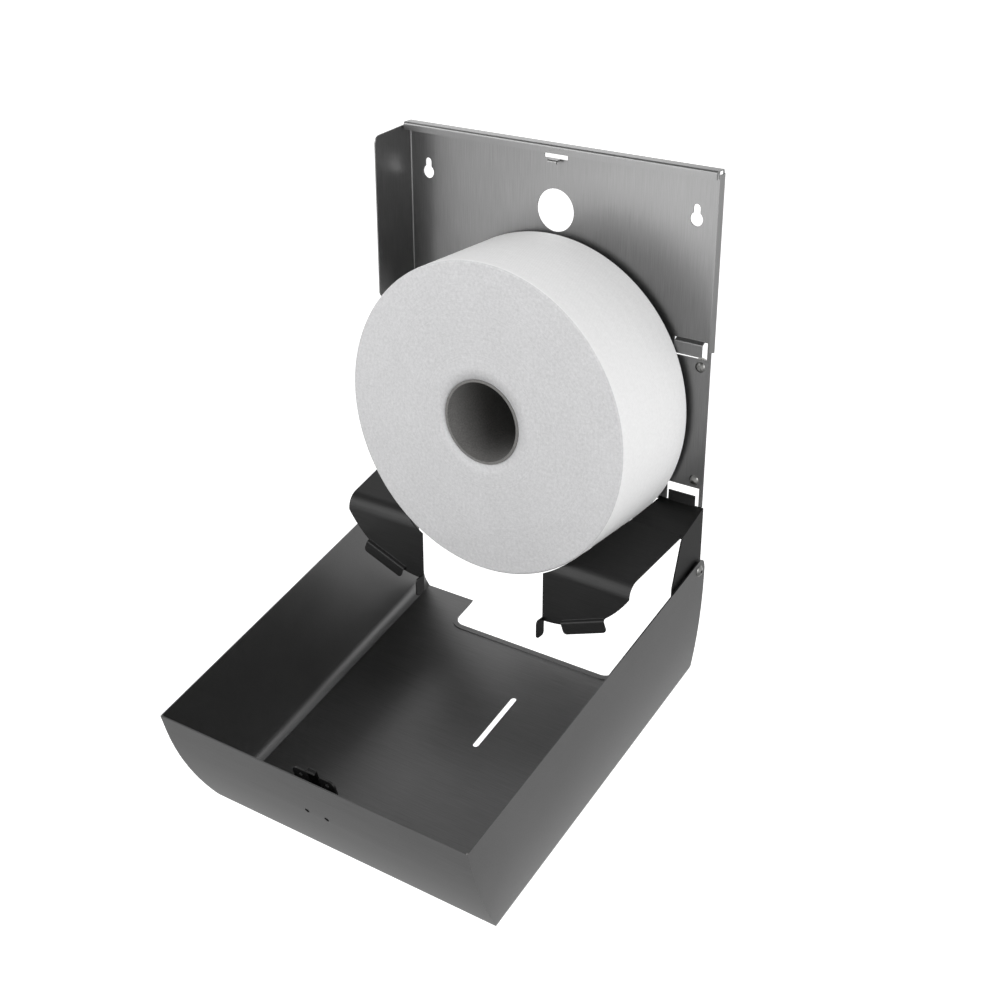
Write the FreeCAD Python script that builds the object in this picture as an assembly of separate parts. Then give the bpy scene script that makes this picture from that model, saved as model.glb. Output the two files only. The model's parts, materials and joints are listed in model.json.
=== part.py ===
import FreeCAD, Part
import math
import os

V = FreeCAD.Vector
X_AXIS = V(1, 0, 0)
Y_AXIS = V(0, 1, 0)
Z_AXIS = V(0, 0, 1)
ORIGIN = V(0, 0, 0)

# Frame: X to the right, Y into the wall, Z up. The wall is the plane Y = 0.
# The origin is on the wall, midway between the two screws that the keyholes hang on.

# Sheet metal
sheet = 1.0
bend_radius = 1.0
cut_overrun = 5.0
slide_gap = 0.3
running_gap = 0.05

# Back plate
wall_gap = 2.0
plate_width = 274.0
plate_rise = 30.0
hinge_drop = 274.0
plate_tail = 12.0
plate_tail_inset = 65.0
top_flange_depth = 11.0
top_lip_drop = 6.0
top_flange_gap = 3.5
corner_relief_width = 2.6
corner_relief_height = 5.0
side_flange_depth = 9.0
side_flange_drop = 101.5
side_flange_chamfer = 4.0
bare_edge_inset = 3.0
wing_depth = 44.0
wing_top_fall = 3.0
wing_corner_radius = 6.0

# Holes in the back plate
keyhole_inset = 20.5
keyhole_slot_width = 5.5
keyhole_head_width = 10.0
keyhole_drop = 8.0
wall_hole_width = 32.0
wall_hole_drop = 20.0
lower_screw_inset = 47.0
lower_screw_width = 6.0
lower_screw_rise = 70.0
latch_slot_width = 20.0
latch_slot_height = 5.6
latch_slot_rise = 20.8
catch_width = 8.0
catch_reach = 6.0
catch_lip = 1.6
window_side_inset = 6.0
window_width = 27.0
upper_window_top_drop = 95.8
lower_window_top_rise = 64.0
window_height = 13.2
window_tab_gap_inner = 2.0
window_tab_gap_outer = 2.6
window_tab_gap_end = 2.5
window_tab_reach = 3.5
window_tab_fall = 2.0

# Nylon wall feet and their dome rivets
foot_inset = 11.0
foot_under_window = 6.0
foot_over_window = 6.0
foot_width = 13.0
foot_rivet_head = 8.0
foot_rivet_dome = 1.9
foot_rivet_shank = 4.0
foot_recess_depth = 0.9

# Cradle, which carries the roll and the hinge
fold_rise = 49.6
shelf_break_depth = 28.0
shelf_break_rise = 38.0
shelf_depth = 95.0
shelf_front_rise = 23.0
shelf_nose_radius = 11.0
shelf_side_inset = 3.0
shelf_front_inset = 7.6
skirt_inner_inset = 81.0
skirt_inner_rise = -28.0
skirt_middle_inset = 33.0
skirt_middle_rise = -13.5
skirt_outer_rise = 12.0
cradle_flange_inset = 2.0
cradle_flange_height = 36.0
cradle_tab_rise = 8.0
front_tab_width = 39.0
front_tab_centre_inset = 45.5
front_tab_centre_rise = -15.5
front_tab_tilt = 20.8
front_tab_joggle = 2.5
front_tab_drop = 10.5
front_tab_root = 4.0
front_tab_corner = 3.0
lug_reach = 8.5
lug_drop = 12.0
lug_root = 3.0
ear_inset = 1.4
ear_depth = 42.0
ear_top_depth = 31.0
ear_foot_drop = 11.0
ear_corner_radius = 5.0
cradle_rivet_inset = 16.0
cradle_rivet_upper_rise = 40.0
cradle_rivet_lower_rise = 20.0
cradle_rivet_head = 7.0
cradle_rivet_dome = 1.2
cradle_rivet_shank = 4.0

# Hinge: a rivet, a nylon bush in the cover's wall and a washer inside the ear, on each side
hinge_depth = 7.0
hinge_pin_width = 5.0
hinge_head_width = 9.0
hinge_head_dome = 2.0
hinge_tail_width = 8.0
hinge_tail_height = 1.2
hinge_bore_width = 2.6
hinge_play = 0.1
bush_wall = 1.4
bush_flange_width = 13.0
washer_width = 11.0
washer_thickness = 1.0

# Cover
cover_open_angle = 105.7
cover_side_gap = 0.5
cover_top_gap = 0.5
cover_rim_back = 8.0
cover_front = 97.0
cover_bow_start = 8.0
cover_top_fall = 18.5
cover_side_fall = 8.0
cover_foot_rise = 19.5
cover_hinge_tail = 8.0
cover_hinge_ledge = 2.0
cover_top_radius = 9.0
cover_side_radius = 12.0
cover_foot_radius = 5.0
outlet_side_width = 60.5
outlet_rise = 50.0
outlet_corner = 10.0
hem_width = 4.0
hem_thickness = 0.9
sight_slot_offset = 19.0
sight_slot_bottom = 103.0
sight_slot_length = 52.0
sight_slot_width = 5.0
key_hole_spacing = 18.0
key_hole_width = 4.0
key_hole_front = 29.0

# Lock, inside the cover's top wall
lock_half_width = 22.0
lock_back = 23.0
lock_front = 39.0
lock_chamfer_length = 3.0
lock_chamfer_rise = 2.0
lock_hang = 6.0
lock_height = 10.5
lock_wall = 2.0
keeper_thickness = 1.8
lock_lug_inner = 4.9
lock_lug_outer = 19.0
lock_lug_rise = 6.8
lock_lug_thickness = 1.5
lock_lug_radius = 5.0
lock_lug_hole = 3.5
stud_offset = 18.0
stud_front = 31.0
stud_width = 4.0
stud_nut_width = 8.0
stud_nut_height = 1.8
tongue_width = 7.6
tongue_thickness = 2.0
tongue_hook_length = 1.4
tongue_hook_rise = 1.4
tongue_bar_half_width = 12.0
tongue_bar_back = 26.0
tongue_bar_front = 32.0
latch_travel = 3.0
release_pin_width = 3.4
latch_spring_width = 5.0
latch_spring_bore = 3.4

# Jumbo roll
roll_width = 90.0
roll_side_room = 17.0
roll_sink = 2.0
roll_back = 7.0
core_outer_width = 65.0
core_wall = 2.0
roll_edge_round = 0.8

# Places worked out from the sizes
plate_back = -wall_gap
plate_face = -wall_gap - sheet
plate_half = plate_width / 2
bare_half = plate_half - bare_edge_inset
plate_bottom = -hinge_drop - plate_tail
plate_tail_half_width = plate_half - plate_tail_inset
keyhole_spacing = plate_width - 2 * keyhole_inset
lower_screw_spacing = plate_width - 2 * lower_screw_inset
lower_screw_drop = hinge_drop - lower_screw_rise
window_outer = plate_half - window_side_inset
window_inner = window_outer - window_width
lower_window_top_drop = hinge_drop - lower_window_top_rise
foot_offset = plate_half - foot_inset
foot_upper_drop = upper_window_top_drop + window_height + foot_under_window
foot_lower_drop = lower_window_top_drop - foot_over_window
hinge_y = plate_back - hinge_depth
hinge_z = -hinge_drop
fold_z = hinge_z + fold_rise
outer_bend = bend_radius + sheet
ear_half_width = plate_half - ear_inset
shelf_half_width = plate_half - shelf_side_inset
shelf_front_half_width = plate_half - shelf_front_inset
skirt_inner = plate_half - skirt_inner_inset
skirt_middle = plate_half - skirt_middle_inset
cradle_flange_half_width = plate_tail_half_width - cradle_flange_inset
front_tab_centre = plate_half - front_tab_centre_inset
cradle_rivet_offset = plate_tail_half_width - cradle_rivet_inset
roll_radius = plate_half - roll_side_room
roll_seat_rise = roll_radius - roll_sink
latch_slot_low = latch_slot_rise - latch_slot_height / 2
latch_slot_high = latch_slot_rise + latch_slot_height / 2

# Places on the closed cover, as heights above the hinge and distances in front of it
cover_rim_width = plate_width + 2 * (cover_side_gap + sheet)
cover_height = hinge_drop + plate_rise + cover_top_gap + sheet
outlet_half_width = cover_rim_width / 2 - outlet_side_width
lock_top = cover_height - lock_hang
lock_bottom = lock_top - lock_height
lock_lug_bottom = lock_bottom + lock_lug_rise
lock_lug_top = lock_lug_bottom + lock_lug_thickness
lock_lug_back = sheet - hinge_depth + slide_gap
tongue_bottom = hinge_drop + latch_slot_high - slide_gap - tongue_thickness
tongue_hook_back = slide_gap - hinge_depth - wall_gap


# Basic shapes

def box(x0, x1, y0, y1, z0, z1):
    return Part.makeBox(x1 - x0, y1 - y0, z1 - z0, V(x0, y0, z0))


def rod(width, start, axis, length):
    return Part.makeCylinder(width / 2, length, start, axis)


def fuse(shapes):
    joined = shapes[0].fuse(shapes[1:]) if len(shapes) > 1 else shapes[0]
    return joined.removeSplitter()


def mirrored(shape):
    return shape.mirror(ORIGIN, X_AXIS)


def both_sides(shape):
    return [shape, mirrored(shape)]


def dome(width, height, start, axis):
    # A spherical cap standing on a flat face
    radius = (width * width / 4 + height * height) / (2 * height)
    ball = Part.makeSphere(radius, start + axis * (height - radius))
    return ball.common(rod(width, start, axis, height))


# A sheet's outline from the line that its outer face follows. Points are pairs in one plane.

def unit(p, q):
    length = math.hypot(q[0] - p[0], q[1] - p[1])
    return ((q[0] - p[0]) / length, (q[1] - p[1]) / length)


def offset_line(points, distance):
    # The same line, moved to the left of its direction by the distance
    moved = []
    last = len(points) - 1
    for i, p in enumerate(points):
        a = unit(points[max(i - 1, 0)], points[max(i, 1)])
        b = unit(points[min(i, last - 1)], points[min(i + 1, last)])
        shift = distance / (1 + a[0] * b[0] + a[1] * b[1])
        moved.append((p[0] - (a[1] + b[1]) * shift, p[1] + (a[0] + b[0]) * shift))
    return moved


def rounded_line(points, radii, place):
    # Straight edges and tangent arcs along the points, with one radius for each inner point
    edges = []
    start = points[0]
    for i in range(1, len(points) - 1):
        corner = points[i]
        a = unit(corner, points[i - 1])
        b = unit(corner, points[i + 1])
        half = math.acos(max(-1, min(1, a[0] * b[0] + a[1] * b[1]))) / 2
        reach = radii[i - 1] / math.tan(half)
        one = (corner[0] + a[0] * reach, corner[1] + a[1] * reach)
        two = (corner[0] + b[0] * reach, corner[1] + b[1] * reach)
        middle = unit((0, 0), (a[0] + b[0], a[1] + b[1]))
        depth = radii[i - 1] / math.sin(half) - radii[i - 1]
        top = (corner[0] + middle[0] * depth, corner[1] + middle[1] * depth)
        edges.append(Part.LineSegment(place(start), place(one)).toShape())
        edges.append(Part.Arc(place(one), place(top), place(two)).toShape())
        start = two
    edges.append(Part.LineSegment(place(start), place(points[-1])).toShape())
    return edges


def sheet_face(points, radii, place, thickness=sheet):
    # The strip between a line and its left offset, with concentric bends
    inner = offset_line(points, thickness)
    line_radii = []
    inner_radii = []
    for i in range(1, len(points) - 1):
        a = unit(points[i - 1], points[i])
        b = unit(points[i], points[i + 1])
        left_turn = a[0] * b[1] - a[1] * b[0] > 0
        line_radii.append(radii[i - 1] + thickness if left_turn else radii[i - 1])
        inner_radii.append(radii[i - 1] if left_turn else radii[i - 1] + thickness)
    edges = rounded_line(points, line_radii, place) + rounded_line(inner, inner_radii, place)
    edges.append(Part.LineSegment(place(points[0]), place(inner[0])).toShape())
    edges.append(Part.LineSegment(place(points[-1]), place(inner[-1])).toShape())
    return Part.Face(Part.Wire(Part.__sortEdges__(edges)))


def prism(points, place, direction):
    corners = [place(p) for p in points]
    return Part.Face(Part.makePolygon(corners + corners[:1])).extrude(direction)


def rounded_prism(points, radii, place, direction):
    # A closed outline with a radius for each point, extruded
    mid = ((points[-1][0] + points[0][0]) / 2, (points[-1][1] + points[0][1]) / 2)
    line = [mid] + list(points) + [mid]
    edges = rounded_line(line, radii, place)
    return Part.Face(Part.Wire(Part.__sortEdges__(edges))).extrude(direction)


def in_side_view(x):
    return lambda p: V(x, p[0], p[1])


def in_plan(z):
    return lambda p: V(p[0], p[1], z)


def in_front_view(y):
    return lambda p: V(p[0], y, p[1])


# Back plate

def keyhole(x):
    deep = sheet + 2 * cut_overrun
    front = plate_face - cut_overrun
    slot = box(x - keyhole_slot_width / 2, x + keyhole_slot_width / 2, front, front + deep, -keyhole_drop, 0)
    top = rod(keyhole_slot_width, V(x, front, 0), Y_AXIS, deep)
    head = rod(keyhole_head_width, V(x, front, -keyhole_drop), Y_AXIS, deep)
    return fuse([slot, top, head])


def plate_opening(x0, x1, z0, z1):
    return box(x0, x1, plate_face - cut_overrun, plate_back + cut_overrun, z0, z1)


def window_tab(sign):
    # A tab lanced from the window's upper edge: forward, then down in front of the window
    z_top = -upper_window_top_drop
    z_low = z_top - window_height + window_tab_gap_end
    reach = plate_back - window_tab_reach
    line = [(plate_back, z_top + outer_bend), (plate_back, z_top),
            (reach, z_top - window_tab_fall), (reach, z_low)]
    x0 = window_inner + window_tab_gap_inner
    x1 = window_outer - window_tab_gap_outer
    face = sheet_face(line[::-1], [bend_radius / 2, bend_radius / 2], in_side_view(x0))
    tab = face.extrude(V(x1 - x0, 0, 0))
    return tab if sign > 0 else mirrored(tab)


def back_plate():
    mid = in_side_view(-bare_half)
    lip_y = plate_back - top_flange_depth
    hook_line = [(plate_back, -keyhole_head_width), (plate_back, plate_rise), (lip_y, plate_rise),
                 (lip_y, plate_rise - top_lip_drop)]
    hook = sheet_face(hook_line, [bend_radius, bend_radius], mid)
    hook = hook.extrude(V(bare_half + plate_half - top_flange_gap, 0, 0))
    hook.translate(V(outer_bend, 0, 0))
    flange_low = -side_flange_drop
    flange_top = plate_rise - outer_bend - bend_radius
    flange_line = [(plate_half, plate_back - side_flange_depth), (plate_half, plate_back), (0, plate_back)]
    flange = sheet_face(flange_line, [bend_radius], in_plan(flange_low))
    flange = flange.extrude(V(0, 0, flange_top - flange_low))
    wing = sheet_face([(0, plate_back), (-bare_half, plate_back), (-bare_half, plate_back - wing_depth)],
                      [bend_radius], in_plan(flange_low))
    wing = wing.extrude(V(0, 0, flange_top - flange_low))
    middle = box(-bare_half, bare_half, plate_face, plate_back, fold_z, -side_flange_drop)
    tail = box(-plate_tail_half_width, plate_tail_half_width, plate_face, plate_back, plate_bottom, fold_z)
    upper = box(-bare_half + outer_bend, bare_half, plate_face, plate_back, -side_flange_drop, 0)
    plate = fuse([hook, flange, wing, middle, tail, upper])

    front_y = plate_back - wing_depth - cut_overrun
    wing_cut = prism([(lip_y, flange_top), (front_y, flange_top - wing_top_fall),
                      (front_y, flange_top + cut_overrun), (lip_y, flange_top + cut_overrun)],
                     in_side_view(-plate_half), V(2 * sheet + bare_edge_inset, 0, 0))
    chamfer_y = plate_face - bend_radius
    chamfer_end = plate_back - side_flange_depth
    chamfer = prism([(chamfer_y, flange_low), (chamfer_end, flange_low + side_flange_chamfer / 2),
                     (chamfer_end - cut_overrun, flange_low - cut_overrun),
                     (chamfer_y, flange_low - cut_overrun)],
                    in_side_view(plate_half - 2 * sheet), V(3 * sheet, 0, 0))
    relief = rod(corner_relief_width, V(plate_half - top_flange_gap, plate_face - cut_overrun,
                                        plate_rise - top_lip_drop), Y_AXIS, sheet + 2 * cut_overrun)
    relief_slot = plate_opening(plate_half - top_flange_gap - corner_relief_width / 2,
                                plate_half - top_flange_gap + corner_relief_width / 2,
                                plate_rise - top_lip_drop, plate_rise - top_lip_drop + corner_relief_height)
    edge_gap = plate_opening(bare_half, plate_half + sheet, flange_low - cut_overrun, flange_low)

    through = sheet + 2 * cut_overrun
    cuts = [keyhole(-keyhole_spacing / 2), keyhole(keyhole_spacing / 2)]
    cuts += [wing_cut, chamfer, relief, relief_slot, edge_gap]
    cuts.append(rod(wall_hole_width, V(0, plate_face - cut_overrun, -wall_hole_drop), Y_AXIS, through))
    slot_low = latch_slot_low
    cuts.append(plate_opening(-latch_slot_width / 2, latch_slot_width / 2, slot_low, latch_slot_high))
    window_top = -upper_window_top_drop
    window = plate_opening(window_inner, window_outer, window_top - window_height, window_top)
    # The lower windows run out of the plate's lower edge, where the cradle's tabs stand in them
    notch = plate_opening(window_inner, window_outer, fold_z - cut_overrun, -lower_window_top_drop)
    cuts.extend(both_sides(window) + both_sides(notch))
    for side in (-1, 1):
        x = side * lower_screw_spacing / 2
        cuts.append(rod(lower_screw_width, V(x, plate_face - cut_overrun, -lower_screw_drop), Y_AXIS, through))
        for drop in (foot_upper_drop, foot_lower_drop):
            place = V(side * foot_offset, plate_face - cut_overrun, -drop)
            cuts.append(rod(foot_rivet_shank, place, Y_AXIS, through))
        for rise in (cradle_rivet_upper_rise, cradle_rivet_lower_rise):
            place = V(side * cradle_rivet_offset, plate_face - cut_overrun, hinge_z + rise)
            cuts.append(rod(cradle_rivet_shank, place, Y_AXIS, through))
    plate = plate.cut(cuts)

    # The catch under the latch slot: a tab bent forward with a small lip down
    catch_y = plate_face - catch_reach
    catch_line = [(plate_back, slot_low - bend_radius - sheet), (plate_back, slot_low), (catch_y, slot_low),
                  (catch_y, slot_low - sheet - catch_lip)]
    catch = sheet_face(catch_line, [bend_radius / 2, bend_radius / 2], in_side_view(-catch_width / 2))
    catch = catch.extrude(V(catch_width, 0, 0))
    plate = fuse([plate, catch, window_tab(1), window_tab(-1)])
    front_edge = plate_back - wing_depth
    corner = [e for e in plate.Edges
              if abs(e.CenterOfMass.y - front_edge) < sheet and e.Length < 2 * sheet
              and e.CenterOfMass.x < 0 and abs(e.Vertexes[0].Point.y - e.Vertexes[-1].Point.y) < sheet / 2]
    return plate.makeFillet(wing_corner_radius, corner)


# Wall feet and rivets

def foot_places():
    for side in (-1, 1):
        for drop in (foot_upper_drop, foot_lower_drop):
            yield side * foot_offset, -drop


def wall_feet():
    feet = []
    for x, z in foot_places():
        foot = rod(foot_width, V(x, plate_back, z), Y_AXIS, wall_gap)
        foot = foot.cut(rod(foot_rivet_shank, V(x, plate_back, z), Y_AXIS, wall_gap))
        feet.append(foot.cut(rod(foot_rivet_head, V(x, -foot_recess_depth, z), Y_AXIS, foot_recess_depth)))
    return Part.makeCompound(feet)


def foot_rivets():
    rivets = []
    for x, z in foot_places():
        head = dome(foot_rivet_head, foot_rivet_dome, V(x, plate_face, z), -Y_AXIS)
        shank = rod(foot_rivet_shank, V(x, plate_face, z), Y_AXIS, -plate_face - foot_recess_depth)
        tail = rod(foot_rivet_head - slide_gap, V(x, -foot_recess_depth, z), Y_AXIS, foot_recess_depth / 2)
        rivets.append(fuse([head, shank, tail]))
    return Part.makeCompound(rivets)


def cradle_rivets():
    rivets = []
    front = plate_face - sheet
    for side in (-1, 1):
        for rise in (cradle_rivet_upper_rise, cradle_rivet_lower_rise):
            x, z = side * cradle_rivet_offset, hinge_z + rise
            head = dome(cradle_rivet_head, cradle_rivet_dome, V(x, front, z), -Y_AXIS)
            shank = rod(cradle_rivet_shank, V(x, front, z), Y_AXIS, 2 * sheet)
            tail = dome(cradle_rivet_head, cradle_rivet_dome, V(x, plate_back, z), Y_AXIS)
            rivets.append(fuse([head, shank, tail]))
    return Part.makeCompound(rivets)


# Cradle

def roll_space(extra):
    # The room that the seated roll takes, all the way out to the front
    centre = V(0, plate_face - sheet - slide_gap, hinge_z + roll_seat_rise)
    return Part.makeCylinder(roll_radius + extra, 3 * shelf_depth, centre, -Y_AXIS)


def front_tab():
    # A tab joggled forward from the front skirt's lower edge, tilted along that edge
    front = plate_face - shelf_depth
    line = [(front, front_tab_root), (front, 0), (front - front_tab_joggle, -front_tab_joggle / 2),
            (front - front_tab_joggle, -front_tab_drop)]
    face = sheet_face(line, [bend_radius / 2, bend_radius / 2], in_side_view(-front_tab_width / 2))
    tab = face.extrude(V(front_tab_width, 0, 0))
    feet = [e for e in tab.Edges
            if abs(e.CenterOfMass.z + front_tab_drop) < sheet / 10 and e.Length < 2 * sheet]
    tab = tab.makeFillet(front_tab_corner, feet)
    tab.rotate(ORIGIN, Y_AXIS, -front_tab_tilt)
    tab.translate(V(front_tab_centre, 0, hinge_z + front_tab_centre_rise))
    return tab


def cradle_half():
    front = plate_face - shelf_depth
    break_y = plate_face - shelf_break_depth
    skirt_end = skirt_inner_rise - cut_overrun
    line = [(plate_face, fold_rise), (break_y, shelf_break_rise), (front, shelf_front_rise), (front, skirt_end)]
    line = [(y, hinge_z + rise) for y, rise in line]
    face = sheet_face(line, [bend_radius, shelf_nose_radius], in_side_view(0))
    shelf = face.extrude(V(ear_half_width, 0, 0))
    ear_front = plate_face - ear_top_depth
    # Beyond the ear the shelf's side edge draws in a little towards the front
    shelf_edge = [(shelf_half_width, ear_front), (ear_half_width + sheet, ear_front),
                  (ear_half_width + sheet, front - sheet), (shelf_front_half_width, front - sheet)]
    shelf = shelf.cut(prism(shelf_edge, in_plan(hinge_z + skirt_end - sheet),
                            V(0, 0, fold_rise - skirt_end + 2 * sheet)))
    # The skirt's lower edge follows an arc that rises outwards
    low = hinge_z + skirt_end - cut_overrun
    arc_start = V(skirt_inner, front - cut_overrun, hinge_z + skirt_inner_rise)
    arc_end = V(shelf_front_half_width, front - cut_overrun, hinge_z + skirt_outer_rise)
    arc_middle = V(skirt_middle, front - cut_overrun, hinge_z + skirt_middle_rise)
    arc = Part.Arc(arc_start, arc_middle, arc_end).toShape()
    far = V(plate_half, front - cut_overrun, hinge_z + skirt_outer_rise)
    outline = [arc_end, far, V(plate_half, front - cut_overrun, low), V(0, front - cut_overrun, low),
               V(0, front - cut_overrun, hinge_z + skirt_inner_rise), arc_start]
    below = Part.Face(Part.Wire(Part.__sortEdges__([arc] + Part.makePolygon(outline).Edges)))
    shelf = shelf.cut(below.extrude(V(0, shelf_depth / 2, 0)))
    ear_bottom = hinge_z - ear_foot_drop
    ear_points = [(plate_face, fold_z - sheet), (break_y, hinge_z + shelf_break_rise - sheet),
                  (ear_front, hinge_z + shelf_break_rise - 2 * sheet), (plate_face - ear_depth, hinge_z),
                  (plate_face - ear_depth, ear_bottom), (plate_face, ear_bottom)]
    ear_radii = [sheet / 10, sheet] + [ear_corner_radius] * (len(ear_points) - 2)
    ear = rounded_prism(ear_points, ear_radii, in_side_view(ear_half_width - sheet), V(sheet, 0, 0))
    ear = ear.cut(rod(hinge_pin_width, V(ear_half_width - 2 * sheet, hinge_y, hinge_z), X_AXIS, 3 * sheet))
    middle = box(0, skirt_inner, front - cut_overrun, plate_face - sheet - slide_gap, low, fold_z + sheet)
    behind = box(0, plate_half, plate_face, 0, low, fold_z + sheet)
    shelf = shelf.cut([roll_space(slide_gap), middle, behind])
    flange = box(0, cradle_flange_half_width, plate_face - sheet, plate_face,
                 fold_z - cradle_flange_height, fold_z)
    tab_inner = window_inner + window_tab_gap_inner
    tab_outer = window_outer - window_tab_gap_outer
    tab = box(tab_inner, tab_outer, plate_face - sheet, plate_face, fold_z - sheet, fold_z + cradle_tab_rise)
    lug_top = hinge_z + skirt_inner_rise + lug_root
    lug_bottom = hinge_z + skirt_inner_rise - lug_drop
    lug = rounded_prism([(front + sheet, lug_top), (front - lug_reach, lug_top),
                         (front - lug_reach, lug_bottom), (front + sheet, lug_bottom)],
                        [sheet / 10, lug_reach / 3, lug_reach / 3, lug_reach / 3],
                        in_side_view(skirt_inner), V(sheet, 0, 0))
    half = fuse([shelf, ear, flange, tab, lug, front_tab()])
    for rise in (cradle_rivet_upper_rise, cradle_rivet_lower_rise):
        place = V(cradle_rivet_offset, plate_face - 2 * sheet, hinge_z + rise)
        half = half.cut(rod(cradle_rivet_shank, place, Y_AXIS, 3 * sheet))
    return half


def cradle():
    half = cradle_half()
    return fuse([half, mirrored(half)])


# Hinge

def cover_wall_outside():
    return cover_rim_width / 2


def hinge_pin(sign):
    outside = cover_wall_outside() + hinge_play
    inside = ear_half_width - sheet - washer_thickness
    head = dome(hinge_head_width, hinge_head_dome, V(outside, hinge_y, hinge_z), X_AXIS)
    shank = rod(hinge_pin_width, V(inside, hinge_y, hinge_z), X_AXIS, outside - inside)
    tail = rod(hinge_tail_width, V(inside - hinge_tail_height, hinge_y, hinge_z), X_AXIS, hinge_tail_height)
    length = outside - inside + hinge_head_dome + hinge_tail_height
    bore = rod(hinge_bore_width, V(inside - hinge_tail_height, hinge_y, hinge_z), X_AXIS, length)
    pin = fuse([head, shank, tail]).cut(bore)
    return pin if sign > 0 else mirrored(pin)


def hinge_bush(sign):
    wall_inside = cover_wall_outside() - sheet
    bore = hinge_pin_width + 2 * running_gap
    sleeve = rod(bore + 2 * bush_wall, V(wall_inside, hinge_y, hinge_z), X_AXIS, sheet)
    ear_face = ear_half_width + hinge_play
    flange = rod(bush_flange_width, V(ear_face, hinge_y, hinge_z), X_AXIS, wall_inside - ear_face)
    bush = fuse([sleeve, flange]).cut(rod(bore, V(ear_face - sheet, hinge_y, hinge_z), X_AXIS, 4 * sheet))
    return bush if sign > 0 else mirrored(bush)


def hinge_washer(sign):
    start = V(ear_half_width - sheet - washer_thickness, hinge_y, hinge_z)
    washer = rod(washer_width, start, X_AXIS, washer_thickness)
    washer = washer.cut(rod(hinge_pin_width, start, X_AXIS, washer_thickness))
    return washer if sign > 0 else mirrored(washer)


# Cover, drawn closed and then swung open. A place on it is X, the distance in front of
# the hinge line and the height above it.

def closed(front, height):
    return hinge_y - front, hinge_z + height


def cover_box(x0, x1, front0, front1, height0, height1):
    y1, z0 = closed(front0, height0)
    y0, z1 = closed(front1, height1)
    return box(x0, x1, y0, y1, z0, z1)


def opened(shape):
    shape.rotate(V(0, hinge_y, hinge_z), X_AXIS, cover_open_angle)
    return shape


def bow_share(front):
    # How far the walls have bowed in at a depth, as a share of their whole fall
    return max(0, (front - cover_bow_start) / (cover_front - cover_bow_start)) ** 2


def side_solid(inset, overrun):
    front = cover_front - inset
    height = cover_height - inset
    middle = (cover_front + cover_bow_start) / 2
    rim = closed(-cover_rim_back, height)
    bend = [closed(cover_bow_start, height), closed(middle, height - cover_top_fall * bow_share(middle)),
            closed(front, height - cover_top_fall * bow_share(front))]
    place = in_side_view(-cover_rim_width)
    arc = Part.Arc(place(bend[0]), place(bend[1]), place(bend[2])).toShape()
    straight = Part.LineSegment(place(rim), place(bend[0])).toShape()
    if overrun:
        foot = [closed(front, -2 * overrun), closed(-cover_rim_back - overrun, -2 * overrun),
                closed(-cover_rim_back - overrun, height)]
        edges = [arc, straight] + Part.makePolygon([place(p) for p in [bend[2]] + foot + [rim]]).Edges
    else:
        line = [bend[2], closed(front, cover_foot_rise), closed(cover_hinge_ledge, -cover_hinge_tail),
                closed(-cover_rim_back, -cover_hinge_tail), rim]
        radii = [cover_foot_radius, cover_hinge_tail / 2, cover_hinge_tail * 3 / 4]
        edges = [arc, straight] + rounded_line(line, radii, place)
    face = Part.Face(Part.Wire(Part.__sortEdges__(edges)))
    return face.extrude(V(2 * cover_rim_width, 0, 0))


def plan_solid(inset, overrun):
    low = hinge_z - cover_hinge_tail - 3 * overrun
    high = hinge_z + cover_height + cut_overrun
    half = cover_rim_width / 2 - inset
    middle = (cover_front + cover_bow_start) / 2
    points = [(half, cover_bow_start), (half - cover_side_fall * bow_share(middle), middle),
              (half - cover_side_fall, cover_front)]
    place = in_plan(low)

    def at(p, sign=1):
        return place((sign * p[0], closed(p[1], 0)[0]))

    right = Part.Arc(at(points[0]), at(points[1]), at(points[2])).toShape()
    left = Part.Arc(at(points[0], -1), at(points[1], -1), at(points[2], -1)).toShape()
    edges = [right, left, Part.LineSegment(at(points[2]), at(points[2], -1)).toShape()]
    back = (half, -cover_rim_back - overrun)
    edges.append(Part.LineSegment(at(points[0]), at(back)).toShape())
    edges.append(Part.LineSegment(at(points[0], -1), at(back, -1)).toShape())
    edges.append(Part.LineSegment(at(back), at(back, -1)).toShape())
    face = Part.Face(Part.Wire(Part.__sortEdges__(edges)))
    return face.extrude(V(0, 0, high - low))


def wall_edges(solid):
    # The edges where the top wall and the side walls meet the front wall
    front_y = closed(cover_front / 2, 0)[0]
    found = []
    for e in solid.Edges:
        at = e.CenterOfMass
        along_top = abs(at.x) < sheet and e.Length > cover_rim_width / 2 and at.z > 0 and at.y < front_y
        upright = abs(e.Vertexes[0].Point.z - e.Vertexes[-1].Point.z) > cover_height / 2 and at.y < front_y
        if along_top or upright:
            found.append(e)
    return found


def outlet_outline(extra):
    half = outlet_half_width + extra
    low = hinge_z + cover_foot_rise - cut_overrun
    high = hinge_z + outlet_rise + extra
    return [(-half, low), (-half, high), (half, high), (half, low)]


def cover_form(inset, overrun):
    # The bends are rounded in each view by itself, so the walls meet in welded mitres at the corners
    side = side_solid(inset, overrun)
    side = side.makeFillet(cover_top_radius - inset, wall_edges(side))
    plan = plan_solid(inset, overrun)
    plan = plan.makeFillet(cover_side_radius - inset, wall_edges(plan))
    return side.common(plan)


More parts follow.
